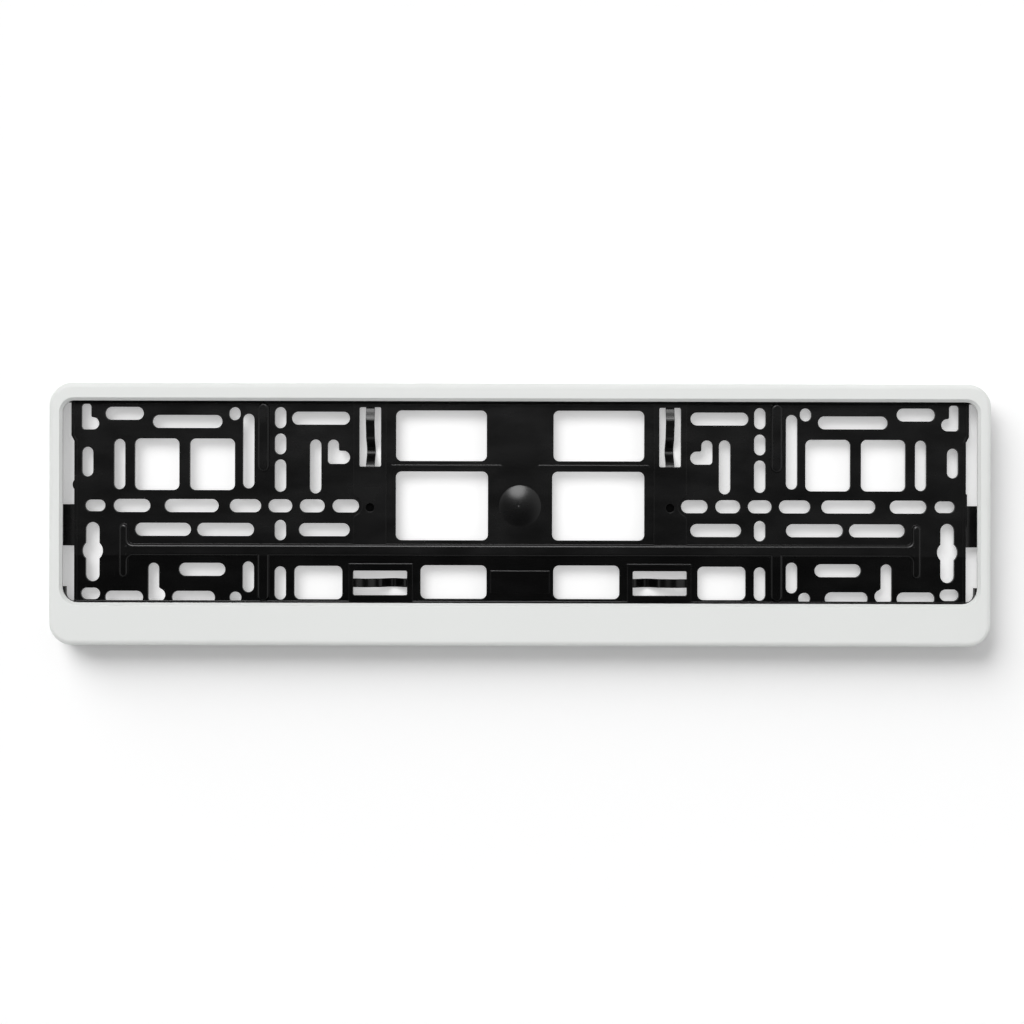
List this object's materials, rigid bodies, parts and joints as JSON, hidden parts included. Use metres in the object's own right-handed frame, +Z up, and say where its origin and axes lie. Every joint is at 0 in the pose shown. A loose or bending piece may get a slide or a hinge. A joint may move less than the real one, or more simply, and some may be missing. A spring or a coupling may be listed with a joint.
{
  "type": "number plate holder",
  "caption": "Flat rectangular number plate holder: a slotted black base panel with leaf springs, inside a pale clip-in surround that frames a window over a plain strip.",
  "frame": {"origin": "middle of the row of screw slots, on the rear face of the panel's sheet", "axes": "+X along the number plate, +Z up towards the narrow lip, -Y towards whoever reads the plate, +Y towards the car"},
  "size_m": [0.528, 0.014, 0.1472],
  "materials": {
    "surround": "satin, moulded, very pale grey",
    "panel": "smooth moulded black with a soft sheen"
  },
  "bodies": {
    "root": {"frame": "surround", "base_plate": "panel"}
  },
  "joints": []
}
